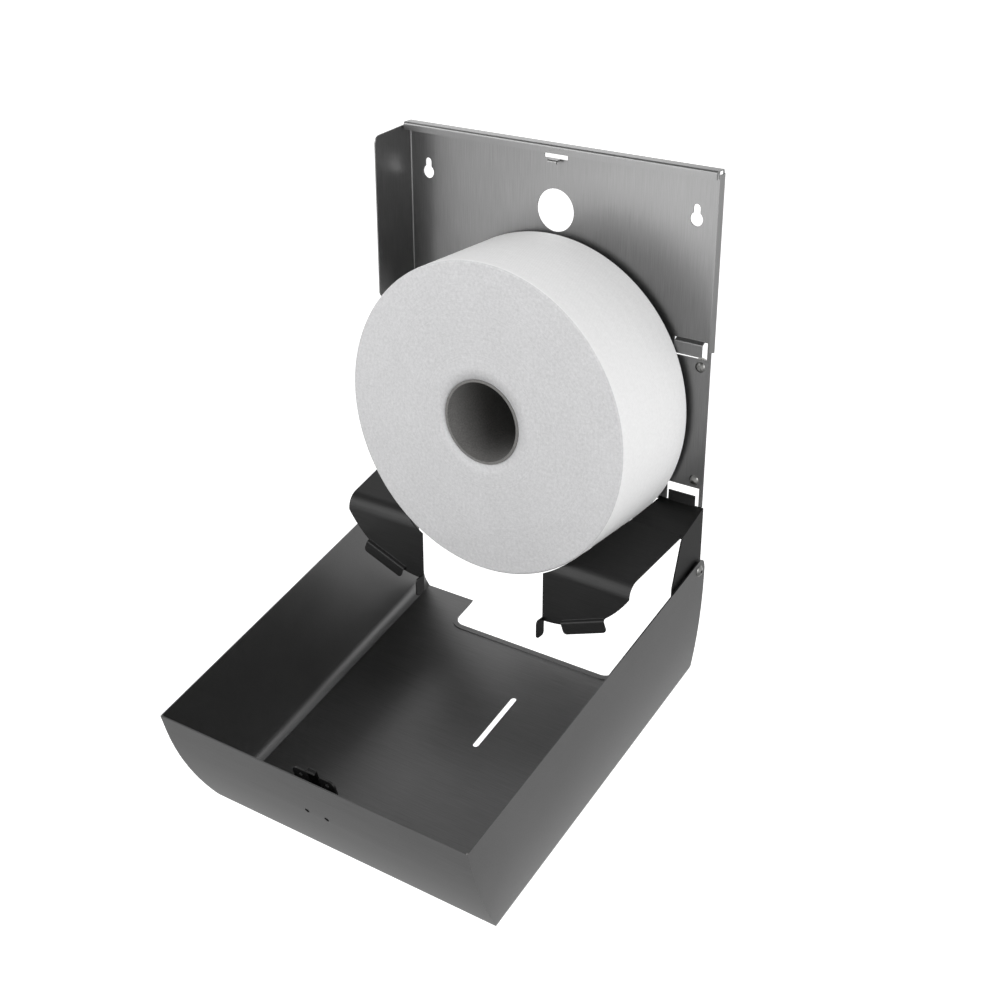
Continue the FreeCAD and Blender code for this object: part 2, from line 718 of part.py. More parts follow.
def cover_shell():
    shell = cover_form(0, 0).cut(cover_form(sheet, cut_overrun))
    front_y = closed(cover_front, 0)[0] - cut_overrun
    tiny = sheet / 10
    outlet = rounded_prism(outlet_outline(0), [tiny, outlet_corner, outlet_corner, tiny],
                           in_front_view(front_y), V(0, cut_overrun + 2 * sheet, 0))
    hem_radius = outlet_corner + hem_width
    hem = rounded_prism(outlet_outline(hem_width), [tiny, hem_radius, hem_radius, tiny],
                        in_front_view(closed(cover_front - sheet, 0)[0]), V(0, hem_thickness, 0))
    hem = hem.common(cover_box(-cover_rim_width, cover_rim_width, 0, cover_front,
                               cover_foot_rise + cover_foot_radius, cover_height))
    shell = fuse([shell, hem]).cut(outlet)
    sight_top = sight_slot_bottom + sight_slot_length
    sight = cover_box(sight_slot_offset - sight_slot_width / 2, sight_slot_offset + sight_slot_width / 2,
                      cover_front - 2 * sheet, cover_front + sheet, sight_slot_bottom, sight_top)
    ends = [rod(sight_slot_width, V(sight_slot_offset, front_y, hinge_z + h), Y_AXIS, cut_overrun + 2 * sheet)
            for h in (sight_slot_bottom, sight_top)]
    key_y = closed(key_hole_front, 0)[0]
    keys = [rod(key_hole_width, V(side * key_hole_spacing / 2, key_y, hinge_z + lock_top), Z_AXIS,
                4 * cut_overrun) for side in (-1, 1)]
    bush = hinge_pin_width + 2 * running_gap + 2 * bush_wall
    holes = [rod(bush, V(side * cover_rim_width / 2 - cut_overrun, hinge_y, hinge_z), X_AXIS, 2 * cut_overrun)
             for side in (-1, 1)]
    return opened(shell.cut([sight] + ends + keys + holes))


# Lock

def lock_lug(sign):
    y0 = closed(lock_back + lock_wall, 0)[0]
    y1 = closed(lock_lug_back, 0)[0]
    tiny = sheet / 10
    lug = rounded_prism([(lock_lug_inner, y0), (lock_lug_outer, y0),
                         (lock_lug_outer, y1), (lock_lug_inner, y1)],
                        [tiny, tiny, lock_lug_radius, lock_lug_radius / 2],
                        in_plan(hinge_z + lock_lug_bottom), V(0, 0, lock_lug_top - lock_lug_bottom))
    middle = (lock_lug_inner + lock_lug_outer) / 2
    hole = rod(lock_lug_hole, V(middle, y1 - lock_lug_radius, hinge_z + lock_lug_bottom), Z_AXIS,
               lock_lug_top - lock_lug_bottom)
    lug = lug.cut(hole)
    return lug if sign > 0 else mirrored(lug)


def lock_body():
    body = cover_box(-lock_half_width, lock_half_width, lock_back, lock_front, lock_bottom, lock_top)
    cavity_half = tongue_bar_half_width + sheet
    cavity = cover_box(-cavity_half, cavity_half, lock_back + lock_wall, lock_front - lock_wall,
                       lock_bottom + lock_wall / 2, lock_top + sheet)
    mouth_half = tongue_width / 2 + slide_gap
    mouth = cover_box(-mouth_half, mouth_half, lock_back - sheet, lock_back + lock_wall + sheet,
                      tongue_bottom - latch_travel - slide_gap, lock_top + sheet)
    # The lower rear edge is cut away, so the body stays hidden behind the cover's rim
    chamfer = prism([closed(lock_back - sheet, lock_bottom - sheet),
                     closed(lock_back + lock_chamfer_length, lock_bottom - sheet),
                     closed(lock_back + lock_chamfer_length, lock_bottom),
                     closed(lock_back, lock_bottom + lock_chamfer_rise),
                     closed(lock_back - sheet, lock_bottom + lock_chamfer_rise)],
                    in_side_view(-lock_half_width - sheet), V(2 * lock_half_width + 2 * sheet, 0, 0))
    body = fuse([body.cut(chamfer), lock_lug(1), lock_lug(-1)]).cut([cavity, mouth])
    y = closed(stud_front, 0)[0]
    studs = [rod(stud_width + 2 * running_gap, V(side * stud_offset, y, hinge_z + lock_bottom - sheet), Z_AXIS,
                 lock_top - lock_bottom + 2 * sheet) for side in (-1, 1)]
    return opened(body.cut(studs))


def lock_keeper():
    keeper = cover_box(-lock_half_width, lock_half_width, lock_back, lock_front,
                       lock_top, lock_top + keeper_thickness)
    y = closed(stud_front, 0)[0]
    cuts = [rod(stud_width + 2 * running_gap, V(side * stud_offset, y, hinge_z + lock_top - sheet), Z_AXIS,
                keeper_thickness + 2 * sheet) for side in (-1, 1)]
    key_y = closed(key_hole_front, 0)[0]
    cuts += [rod(key_hole_width, V(side * key_hole_spacing / 2, key_y, hinge_z + lock_top - sheet), Z_AXIS,
                 keeper_thickness + 2 * sheet) for side in (-1, 1)]
    return opened(keeper.cut(cuts))


def top_wall_inside(front):
    return cover_height - sheet - cover_top_fall * bow_share(front)


def lock_studs():
    y = closed(stud_front, 0)[0]
    low = lock_bottom - stud_nut_height - sheet
    high = top_wall_inside(stud_front + stud_width / 2) - running_gap
    studs = [rod(stud_width, V(side * stud_offset, y, hinge_z + low), Z_AXIS, high - low) for side in (-1, 1)]
    return opened(Part.makeCompound(studs))


def lock_nuts():
    y = closed(stud_front, 0)[0]
    low = hinge_z + lock_bottom - stud_nut_height
    nuts = []
    for side in (-1, 1):
        nut = rod(stud_nut_width, V(side * stud_offset, y, low), Z_AXIS, stud_nut_height)
        nuts.append(nut.cut(rod(stud_width, V(side * stud_offset, y, low), Z_AXIS, stud_nut_height)))
    return opened(Part.makeCompound(nuts))


def latch_tongue():
    top = tongue_bottom + tongue_thickness
    half = tongue_width / 2
    arm = cover_box(-half, half, tongue_hook_back, tongue_bar_back, tongue_bottom, top)
    hook_end = tongue_hook_back + tongue_hook_length
    hook = prism([closed(tongue_hook_back, top), closed(hook_end, top),
                  closed(hook_end, top + tongue_hook_rise),
                  closed(tongue_hook_back + tongue_hook_length / 3, top + tongue_hook_rise)],
                 in_side_view(-half), V(tongue_width, 0, 0))
    bar = cover_box(-tongue_bar_half_width, tongue_bar_half_width, tongue_bar_back, tongue_bar_front,
                    tongue_bottom, top)
    return opened(fuse([arm, hook, bar]))


def release_pins():
    y = closed(key_hole_front, 0)[0]
    low = tongue_bottom + tongue_thickness
    high = lock_top + keeper_thickness / 2
    pins = [rod(release_pin_width, V(side * key_hole_spacing / 2, y, hinge_z + low), Z_AXIS, high - low)
            for side in (-1, 1)]
    return opened(Part.makeCompound(pins))


def latch_spring(sign):
    low = lock_bottom + lock_wall / 2
    place = V(sign * key_hole_spacing / 2, closed(key_hole_front, 0)[0], hinge_z + low)
    spring = rod(latch_spring_width, place, Z_AXIS, tongue_bottom - low)
    return opened(spring.cut(rod(latch_spring_bore, place, Z_AXIS, tongue_bottom - low)))


# Roll

def roll_start():
    return V(0, -roll_back, hinge_z + roll_seat_rise)


def paper_roll():
    roll = Part.makeCylinder(roll_radius, roll_width, roll_start(), -Y_AXIS)
    rims = [e for e in roll.Edges if e.Length > math.pi * roll_radius]
    roll = roll.makeFillet(roll_edge_round, rims)
    return roll.cut(rod(core_outer_width + 2 * running_gap, roll_start(), -Y_AXIS, roll_width))


def roll_core():
    core = rod(core_outer_width, roll_start(), -Y_AXIS, roll_width)
    return core.cut(rod(core_outer_width - 2 * core_wall, roll_start(), -Y_AXIS, roll_width))


NODES = {
    "back_plate": back_plate,
    "wall_feet": wall_feet,
    "foot_rivets": foot_rivets,
    "cradle": cradle,
    "cradle_rivets": cradle_rivets,
    "hinge_pin_left": lambda: hinge_pin(-1),
    "hinge_pin_right": lambda: hinge_pin(1),
    "hinge_washer_left": lambda: hinge_washer(-1),
    "hinge_washer_right": lambda: hinge_washer(1),
    "hinge_bush_left": lambda: hinge_bush(-1),
    "hinge_bush_right": lambda: hinge_bush(1),
    "cover_shell": cover_shell,
    "lock_body": lock_body,
    "lock_keeper": lock_keeper,
    "lock_studs": lock_studs,
    "lock_nuts": lock_nuts,
    "latch_tongue": latch_tongue,
    "release_pins": release_pins,
    "latch_spring_left": lambda: latch_spring(-1),
    "latch_spring_right": lambda: latch_spring(1),
    "roll_core": roll_core,
    "paper_roll": paper_roll,
}

os.makedirs("parts", exist_ok=True)
for name, make in NODES.items():
    shape = make()
    solids = shape.Solids
    print(name, len(solids), shape.isValid(), round(shape.Volume, 1))
    if len(solids) == 1:
        shape = solids[0]
    shape.exportStep("parts/" + name + ".step")
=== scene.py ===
import json
import math

import bmesh
import bpy
from bpy.props import (FloatProperty, FloatVectorProperty, IntProperty, PointerProperty,
                       StringProperty)
from mathutils import Matrix, Vector


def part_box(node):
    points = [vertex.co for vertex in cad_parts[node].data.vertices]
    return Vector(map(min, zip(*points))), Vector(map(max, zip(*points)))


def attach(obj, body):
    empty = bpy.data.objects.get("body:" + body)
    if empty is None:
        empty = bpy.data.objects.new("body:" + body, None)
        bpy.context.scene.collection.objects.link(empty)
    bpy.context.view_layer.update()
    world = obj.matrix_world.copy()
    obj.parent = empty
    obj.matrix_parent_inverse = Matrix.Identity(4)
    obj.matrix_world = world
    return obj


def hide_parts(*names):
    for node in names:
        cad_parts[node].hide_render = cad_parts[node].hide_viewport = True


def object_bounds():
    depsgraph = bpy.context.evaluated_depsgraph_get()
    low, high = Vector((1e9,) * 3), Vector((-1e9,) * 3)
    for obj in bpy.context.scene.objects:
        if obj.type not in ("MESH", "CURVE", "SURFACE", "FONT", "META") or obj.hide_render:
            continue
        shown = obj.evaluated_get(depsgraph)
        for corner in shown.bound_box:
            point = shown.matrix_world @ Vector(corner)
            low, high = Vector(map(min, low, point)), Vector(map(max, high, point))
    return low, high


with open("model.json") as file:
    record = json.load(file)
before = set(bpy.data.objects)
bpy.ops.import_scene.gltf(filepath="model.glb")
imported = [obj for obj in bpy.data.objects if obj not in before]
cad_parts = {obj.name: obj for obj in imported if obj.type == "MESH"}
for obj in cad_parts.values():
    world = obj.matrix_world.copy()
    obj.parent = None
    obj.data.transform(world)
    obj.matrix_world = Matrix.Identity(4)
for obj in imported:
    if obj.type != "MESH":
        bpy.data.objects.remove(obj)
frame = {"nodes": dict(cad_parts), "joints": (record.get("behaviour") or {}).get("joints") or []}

CAD_BOX = [list(corner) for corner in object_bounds()]

bl_info = {
    "name": "Jumbo roll dispenser look",
    "version": (1, 0, 0),
    "blender": (4, 5, 0),
    "location": "3D Viewport > Sidebar > Dispenser",
    "description": "Dresses the sheet steel jumbo roll dispenser and builds its paper roll and studio",
    "category": "Object",
}

# Real sizes that the patterns follow, in metres
MM = 0.001
GRAIN_WIDTH = 0.5 * MM
GRAIN_LENGTH = 26 * MM
MILL_CLOUD = 70 * MM
TOOL_MARK = 0.7 * MM
EMBOSS_PITCH = 1.6 * MM
PLY_PITCH = 0.9 * MM
FIBRE = 2.2 * MM
SOFT_SPOT = 34 * MM
BOARD_FIBRE = 1.4 * MM
MOULD_GRAIN = 0.6 * MM

# Heights of the fine relief in each surface
STEEL_RELIEF = 0.03 * MM
NYLON_RELIEF = 0.05 * MM
BOARD_RELIEF = 0.1 * MM
TISSUE_RELIEF = 0.12 * MM

# The roll: the radius that its embossed rows are counted on, the radii between which the cut
# face turns into the outside, and the dish and the unevenness of its section
ROLL_RADIUS = 0.12
SKIN_START = 0.1195
SKIN_FULL = 0.11985
CORE_FIT = 0.06 * MM
FACE_DISH = 0.5 * MM
FACE_DISH_STEP = 9 * MM
FACE_DISH_MIDDLE = 0.25 * MM
FACE_FLAT_SHARE = 0.62
FACE_FLAT_DEPTH = 0.12 * MM
BACK_DISH = 0.3 * MM
WINDING_DEPTH = 0.12 * MM
WINDING_TURN = 7.3
RIM_STEPS = 6
WINDING_ROWS = 24

# The cover's open angle, and its rear top corner in front of and above the hinge when shut
OPEN_ANGLE = 105.7
WELD_REACH = -7.2 * MM
WELD_RISE = 304.55 * MM
WELD_INSET = 0.75
WELD_FLATNESS = 0.7

# The camera stands where lines drawn through the plate's and the cover's corners meet
CAMERA_PLACE = (0.622718, -0.955545, 0.290315)
CAMERA_AZIMUTH = 35.213
CAMERA_ELEVATION = 25.625
CAMERA_LENS = 57.03
CAMERA_SENSOR = 36.0
CAMERA_NEAR = 0.01
CAMERA_FAR = 100

# The studio: half the floor's width, how far over it the cards stand, and how bright the floor
# looks to the eye
FLOOR_HALF = 30
CARD_HEIGHT = 0.1
FLOOR_GLOW = 0.8


def srgb(code):
    """A hex colour as linear red, green, blue and alpha."""
    values = [int(code[i:i + 2], 16) / 255 for i in (1, 3, 5)]
    return [v / 12.92 if v <= 0.04045 else ((v + 0.055) / 1.055) ** 2.4 for v in values] + [1.0]


def add(tree, kind, settings=None, links=None, values=None):
    """Adds one node with its settings, the values of its sockets and the links into them."""
    node = tree.nodes.new(kind)
    for name, value in (settings or {}).items():
        setattr(node, name, value)
    for name, value in (values or {}).items():
        node.inputs[name].default_value = value
    for name, source in (links or {}).items():
        tree.links.new(source, node.inputs[name])
    return node


def ramp(tree, factor, stops):
    """A colour ramp with (position, hex colour) stops."""
    node = add(tree, "ShaderNodeValToRGB", links={"Fac": factor})
    elements = node.color_ramp.elements
    while len(elements) > 1:
        elements.remove(elements[-1])
    elements[0].position, elements[0].color = stops[0][0], srgb(stops[0][1])
    for place, code in stops[1:]:
        elements.new(place).color = srgb(code)
    return node


def surface(name, sockets):
    """A new material with its shader, and its tree."""
    material = bpy.data.materials.new(name)
    material.use_nodes = True
    tree = material.node_tree
    tree.nodes.clear()
    shader = add(tree, "ShaderNodeBsdfPrincipled", values=sockets)
    add(tree, "ShaderNodeOutputMaterial", links={"Surface": shader.outputs["BSDF"]})
    return material, tree, shader


def brushed(name, dark, light, roughness, grain_axis, depth):
    """Satin stainless sheet, brushed in long parallel strokes.

    The strokes are a little darker and lighter than each other, and the rolled sheet has
    faint, soft clouds in its gloss."""
    material, tree, shader = surface(name, {"Metallic": 1.0, "Roughness": roughness})
    place = add(tree, "ShaderNodeTexCoord").outputs["Object"]
    scale = [1 / GRAIN_WIDTH] * 3
    scale[grain_axis] = 1 / GRAIN_LENGTH
    strokes = add(tree, "ShaderNodeMapping", links={"Vector": place}, values={"Scale": scale})
    grain = add(tree, "ShaderNodeTexNoise", links={"Vector": strokes.outputs["Vector"]},
                values={"Scale": 1.0, "Detail": 3.0, "Roughness": 0.6})
    clouds = add(tree, "ShaderNodeTexNoise", links={"Vector": place},
                 values={"Scale": 1 / MILL_CLOUD, "Detail": 2.0, "Roughness": 0.5})
    faint = add(tree, "ShaderNodeMath", {"operation": "MULTIPLY"},
                {0: clouds.outputs["Fac"]}, {1: 0.35})
    mixed = add(tree, "ShaderNodeMath", {"operation": "MULTIPLY_ADD"},
                {0: grain.outputs["Fac"], 2: faint.outputs["Value"]}, {1: 0.8})
    spread = add(tree, "ShaderNodeMapRange", links={"Value": mixed.outputs["Value"]},
                 values={"From Min": 0.275, "From Max": 0.875, "To Min": 0.0, "To Max": 1.0})
    tone = ramp(tree, spread.outputs["Result"], [(0.0, dark), (1.0, light)])
    tree.links.new(tone.outputs["Color"], shader.inputs["Base Color"])
    gloss = add(tree, "ShaderNodeMapRange", links={"Value": mixed.outputs["Value"]},
                values={"From Min": 0.275, "From Max": 0.875,
                        "To Min": roughness - 0.05, "To Max": roughness + 0.05})
    tree.links.new(gloss.outputs["Result"], shader.inputs["Roughness"])
    bump = add(tree, "ShaderNodeBump", links={"Height": grain.outputs["Fac"]},
               values={"Strength": depth, "Distance": STEEL_RELIEF})
    tree.links.new(bump.outputs["Normal"], shader.inputs["Normal"])
    return material


def turned_steel(name, code, roughness, dark="#6e6e6d"):
    """Headed and turned small steel parts, smooth with faint tool marks."""
    material, tree, shader = surface(name, {"Metallic": 1.0, "Roughness": roughness})
    place = add(tree, "ShaderNodeTexCoord").outputs["Object"]
    marks = add(tree, "ShaderNodeTexNoise", links={"Vector": place},
                values={"Scale": 1 / TOOL_MARK, "Detail": 3.0, "Roughness": 0.55})
    tone = ramp(tree, marks.outputs["Fac"], [(0.3, dark), (0.7, code)])
    tree.links.new(tone.outputs["Color"], shader.inputs["Base Color"])
    bump = add(tree, "ShaderNodeBump", links={"Height": marks.outputs["Fac"]},
               values={"Strength": 0.15, "Distance": STEEL_RELIEF})
    tree.links.new(bump.outputs["Normal"], shader.inputs["Normal"])
    return material


def moulded_nylon(name, dark, light, roughness):
    """Injection moulded nylon with a fine sparked texture."""
    material, tree, shader = surface(name, {"Roughness": roughness, "IOR": 1.53})
    place = add(tree, "ShaderNodeTexCoord").outputs["Object"]
    grain = add(tree, "ShaderNodeTexNoise", links={"Vector": place},
                values={"Scale": 1 / MOULD_GRAIN, "Detail": 3.0, "Roughness": 0.6})
    tone = ramp(tree, grain.outputs["Fac"], [(0.3, dark), (0.7, light)])
    tree.links.new(tone.outputs["Color"], shader.inputs["Base Color"])
    bump = add(tree, "ShaderNodeBump", links={"Height": grain.outputs["Fac"]},
               values={"Strength": 0.3, "Distance": NYLON_RELIEF})
    tree.links.new(bump.outputs["Normal"], shader.inputs["Normal"])
    return material


def wound_tissue(name, dark, light, centre):
    """Embossed recycled tissue, wound tight.

    Its outside carries fine embossed rows round the roll. Its cut faces show the plies as faint rings
    under soft, barely darker spots, and are painted greyer than the outside as painted shade, darkest
    in the hollows of the rings and fibres. Short fibres are in both."""
    material, tree, shader = surface(name, {"Roughness": 0.92, "IOR": 1.45,
                                            "Sheen Weight": 0.15, "Sheen Roughness": 0.6})
    place = add(tree, "ShaderNodeTexCoord").outputs["Object"]
    middle = add(tree, "ShaderNodeMapping", {"vector_type": "POINT"}, {"Vector": place},
                 {"Location": [-c for c in centre]})
    parts = add(tree, "ShaderNodeSeparateXYZ", links={"Vector": middle.outputs["Vector"]})
    flat = add(tree, "ShaderNodeCombineXYZ",
               links={"X": parts.outputs["X"], "Z": parts.outputs["Z"]})
    radius = add(tree, "ShaderNodeVectorMath", {"operation": "LENGTH"}, {0: flat.outputs["Vector"]})
    angle = add(tree, "ShaderNodeMath", {"operation": "ARCTAN2"},
                {0: parts.outputs["Z"], 1: parts.outputs["X"]})
    fibre = add(tree, "ShaderNodeTexNoise", links={"Vector": place},
                values={"Scale": 1 / FIBRE, "Detail": 5.0, "Roughness": 0.65, "Distortion": 0.4})
    # Rings on the cut faces: the radius in plies, blurred by the fibres
    turns = add(tree, "ShaderNodeMath", {"operation": "MULTIPLY"},
                {0: radius.outputs["Value"]}, {1: 1 / PLY_PITCH})
    blurred = add(tree, "ShaderNodeMath", {"operation": "ADD"},
                  {0: turns.outputs["Value"], 1: fibre.outputs["Fac"]})
    ring_place = add(tree, "ShaderNodeCombineXYZ", links={"X": blurred.outputs["Value"]})
    rings = add(tree, "ShaderNodeTexNoise", {"noise_dimensions": "3D"},
                {"Vector": ring_place.outputs["Vector"]}, {"Scale": 1.0, "Detail": 2.0})
    # Rows on the outside: across the width and round the roll
    across = add(tree, "ShaderNodeMath", {"operation": "MULTIPLY"}, {0: parts.outputs["Y"]},
                 {1: 2 * math.pi / EMBOSS_PITCH})
    wave_across = add(tree, "ShaderNodeMath", {"operation": "SINE"}, {0: across.outputs["Value"]})
    round_count = add(tree, "ShaderNodeMath", {"operation": "MULTIPLY"}, {0: angle.outputs["Value"]},
                      {1: round(2 * math.pi * ROLL_RADIUS / EMBOSS_PITCH)})
    wave_round = add(tree, "ShaderNodeMath", {"operation": "SINE"}, {0: round_count.outputs["Value"]})
    emboss = add(tree, "ShaderNodeMath", {"operation": "MULTIPLY"},
                 {0: wave_across.outputs["Value"], 1: wave_round.outputs["Value"]})
    # The outside is where the radius nears the roll's own
    outside = add(tree, "ShaderNodeMapRange", links={"Value": radius.outputs["Value"]},
                  values={"From Min": SKIN_START, "From Max": SKIN_FULL,
                          "To Min": 0.0, "To Max": 1.0})
    height = add(tree, "ShaderNodeMix", {"data_type": "FLOAT"},
                 {0: outside.outputs["Result"], 2: rings.outputs["Fac"], 3: emboss.outputs["Value"]})
    total = add(tree, "ShaderNodeMath", {"operation": "MULTIPLY_ADD"},
                {0: fibre.outputs["Fac"], 2: height.outputs[0]}, {1: 1.2})
    bump = add(tree, "ShaderNodeBump", links={"Height": total.outputs["Value"]},
               values={"Strength": 0.35, "Distance": TISSUE_RELIEF})
    tree.links.new(bump.outputs["Normal"], shader.inputs["Normal"])
    # The cut face's tone: soft spots of random tone, and the rings and fibres, darker where they are
    # low as painted shade in their hollows
    soft = add(tree, "ShaderNodeTexNoise", links={"Vector": place},
               values={"Scale": 1 / SOFT_SPOT, "Detail": 4.0, "Roughness": 0.6, "Distortion": 0.8})
    fine = add(tree, "ShaderNodeMath", {"operation": "MULTIPLY_ADD"},
               {0: rings.outputs["Fac"], 2: fibre.outputs["Fac"]}, {1: 0.35})
    spots_and_hollow_shade = add(tree, "ShaderNodeMath", {"operation": "MULTIPLY_ADD"},
                    {0: soft.outputs["Fac"], 2: fine.outputs["Value"]}, {1: 0.2})
    # The cut face is painted greyer than the outside, as painted shade
    cut = ramp(tree, spots_and_hollow_shade.outputs["Value"], [(0.45, dark), (1.05, light)])
    skin = ramp(tree, fibre.outputs["Fac"], [(0.25, "#f0f0f0"), (0.75, "#fafafa")])
    tone = add(tree, "ShaderNodeMix", {"data_type": "RGBA"},
               {0: outside.outputs["Result"], 6: cut.outputs["Color"], 7: skin.outputs["Color"]})
    tree.links.new(tone.outputs[2], shader.inputs["Base Color"])
    return material


def wound_board(name, dark, light):
    """Grey recycled board, spirally wound into a tube."""
    material, tree, shader = surface(name, {"Roughness": 0.85, "IOR": 1.45})
    place = add(tree, "ShaderNodeTexCoord").outputs["Object"]
    fibre = add(tree, "ShaderNodeTexNoise", links={"Vector": place},
                values={"Scale": 1 / BOARD_FIBRE, "Detail": 5.0, "Roughness": 0.7})
    tone = ramp(tree, fibre.outputs["Fac"], [(0.3, dark), (0.7, light)])
    tree.links.new(tone.outputs["Color"], shader.inputs["Base Color"])
    bump = add(tree, "ShaderNodeBump", links={"Height": fibre.outputs["Fac"]},
               values={"Strength": 0.4, "Distance": BOARD_RELIEF})
    tree.links.new(bump.outputs["Normal"], shader.inputs["Normal"])
    return material


def looking_ray(tree):
    """One for the rays that show the background: to the camera, in a mirror or through glass."""
    path = add(tree, "ShaderNodeLightPath")
    mirror = add(tree, "ShaderNodeMath", {"operation": "MAXIMUM"},
                 {0: path.outputs["Is Camera Ray"], 1: path.outputs["Is Glossy Ray"]})
    glass = add(tree, "ShaderNodeMath", {"operation": "MAXIMUM"},
                {0: mirror.outputs["Value"], 1: path.outputs["Is Transmission Ray"]})
    return glass.outputs["Value"]


def new_object(name, mesh_data):
    """A mesh object from a bmesh, at the origin."""
    mesh = bpy.data.meshes.new(name)
    bmesh.ops.recalc_face_normals(mesh_data, faces=mesh_data.faces)
    mesh_data.to_mesh(mesh)
    mesh_data.free()
    piece = bpy.data.objects.new(name, mesh)
    bpy.context.scene.collection.objects.link(piece)
    return piece


def dress(node, material):
    """Gives a CAD node its material."""
    piece = frame["nodes"][node]
    piece.data.materials.clear()
    piece.data.materials.append(material)


class DispenserSettings(bpy.types.PropertyGroup):
    """Colours and sizes that can be changed."""
    steel_dark: StringProperty(
        name="Steel dark", description="Darkest stroke of the plate's brushed sheet",
        default="#707070")
    steel_light: StringProperty(
        name="Steel light", description="Lightest stroke of the plate's brushed sheet",
        default="#8a8a8a")
    steel_roughness: FloatProperty(
        name="Steel roughness", description="How satin the sheet is",
        default=0.36, min=0.05, max=1.0, subtype="FACTOR")
    # The cut face's colours hold painted shade as well as the tissue's tone: greyer than the outside,
    # and darkest in the hollows of the rings and fibres.
    shaded_face_dark: StringProperty(
        name="Tissue dark", description="Cut face of the roll, in its hollows",
        default="#b8b8b9")
    shaded_face_light: StringProperty(
        name="Tissue light", description="Cut face of the roll",
        default="#d6d6d7")
    roll_steps: IntProperty(
        name="Roll steps", description="Facets round the roll",
        default=192, min=48, max=512)
    rim_round: FloatProperty(
        name="Rim rounding", description="Rounding of the roll's edges",
        default=2.0 * MM, min=0.2 * MM, max=4 * MM, unit="LENGTH", subtype="DISTANCE")
    weld_radius: FloatProperty(
        name="Weld radius", description="Ground weld at the cover's corners",
        default=1.1 * MM, min=0.3 * MM, max=3 * MM, unit="LENGTH", subtype="DISTANCE")
    floor_drop: FloatProperty(
        name="Floor drop", description="Floor under the dispenser",
        default=1.0, min=0.2, max=3.0, unit="LENGTH", subtype="DISTANCE")
    key_power: FloatProperty(
        name="Key lamp", description="Power of the key softbox",
        default=19.0, min=0.0, max=500.0, unit="POWER")
    fill_power: FloatProperty(
        name="Fill lamp", description="Power of the fill softbox",
        default=20.0, min=0.0, max=500.0, unit="POWER")
    low_power: FloatProperty(
        name="Low lamp", description="Power of the softbox that the back plate mirrors",
        default=4.0, min=0.0, max=100.0, unit="POWER")
    over_power: FloatProperty(
        name="Overhead lamp", description="Power of the softbox that the tray mirrors",
        default=0.6, min=0.0, max=100.0, unit="POWER")
    rim_power: FloatProperty(
        name="Rim lamp", description="Power of the softbox behind the top flange",
        default=2.6, min=0.0, max=100.0, unit="POWER")
    studio_grey: FloatVectorProperty(
        name="Studio light", description="Colour of the room light", size=3,
        default=(0.56, 0.56, 0.56), min=0.0, max=1.0, subtype="COLOR")


class DISPENSER_OT_sheet(bpy.types.Operator):
    """Dresses the plate, the cradle and the cover in brushed stainless steel, the cradle's drawn
    darker as painted shade.
    """
    bl_idname = "dispenser.sheet"
    bl_label = "Brushed sheet"

    def execute(self, context):
        s = context.scene.dispenser
        dress("back_plate", brushed("Brushed stainless plate", s.steel_dark, s.steel_light,
                                    s.steel_roughness, 2, 0.25))
        dress("cover_shell", brushed("Brushed stainless cover", "#6c6c6c", "#808080",
                                     s.steel_roughness, 0, 0.25))
        # The cradle is the same steel as the cover, drawn darker as painted shade: it lies in the
        # roll's shadow and mirrors only dark parts of the room.
        dress("cradle", brushed("Brushed stainless cradle in painted shade", "#303030", "#3e3e3e",
                                s.steel_roughness + 0.12, 0, 0.2))
        return {"FINISHED"}


class DISPENSER_OT_fasteners(bpy.types.Operator):
    """Dresses the rivets, pins, washers, studs and nuts."""
    bl_idname = "dispenser.fasteners"
    bl_label = "Rivets and pins"

    def execute(self, context):
        rivet = turned_steel("Headed stainless rivet", "#8c8c8a", 0.3)
        for node in ("foot_rivets", "cradle_rivets", "hinge_pin_left", "hinge_pin_right",
                     "hinge_washer_left", "hinge_washer_right", "lock_studs", "lock_nuts",
                     "release_pins"):
            dress(node, rivet)
        zinc = turned_steel("Zinc plated spring steel", "#9a9a96", 0.34)
        for node in ("lock_keeper", "latch_spring_left", "latch_spring_right"):
            dress(node, zinc)
        dress("latch_tongue", turned_steel("Blackened spring steel", "#3a3a3a", 0.4, "#242424"))
        return {"FINISHED"}


class DISPENSER_OT_mouldings(bpy.types.Operator):
    """Dresses the lock body, the hinge bushes and the wall feet in moulded nylon."""
    bl_idname = "dispenser.mouldings"
    bl_label = "Nylon mouldings"

    def execute(self, context):
        black = moulded_nylon("Moulded black nylon", "#101010", "#1c1c1c", 0.42)
        for node in ("lock_body", "hinge_bush_left", "hinge_bush_right"):
            dress(node, black)
        dress("wall_feet", moulded_nylon("Moulded natural nylon", "#d2d1cb", "#e0dfd9", 0.5))
        return {"FINISHED"}


class DISPENSER_OT_welds(bpy.types.Operator):
    """Adds the ground weld at each rear corner of the cover's top."""
    bl_idname = "dispenser.welds"
    bl_label = "Corner welds"

    def execute(self, context):
        s = context.scene.dispenser
        steel = turned_steel("Ground weld", "#a8a8a6", 0.28)
        low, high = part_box("cover_shell")
        hinge = Vector(next(j for j in frame["joints"] if j["name"] == "cover_hinge")["pos_m"])
        angle = math.radians(OPEN_ANGLE)
        # The cover's rear top corner when shut, turned open about the hinge
        y = hinge.y - WELD_REACH * math.cos(angle) - WELD_RISE * math.sin(angle)
        z = hinge.z - WELD_REACH * math.sin(angle) + WELD_RISE * math.cos(angle)
        mesh = bmesh.new()
        inset = s.weld_radius * WELD_INSET
        flat = Matrix.Diagonal((WELD_FLATNESS, 1, 1, 1))
        for x in (low.x + inset, high.x - inset):
            bmesh.ops.create_icosphere(mesh, subdivisions=3, radius=s.weld_radius,
                                       matrix=Matrix.Translation((x, y, z)) @ flat)
        piece = new_object("corner_welds", mesh)
        piece.data.polygons.foreach_set("use_smooth", [True] * len(piece.data.polygons))
        piece.data.materials.append(steel)
        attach(piece, "cover")
        return {"FINISHED"}


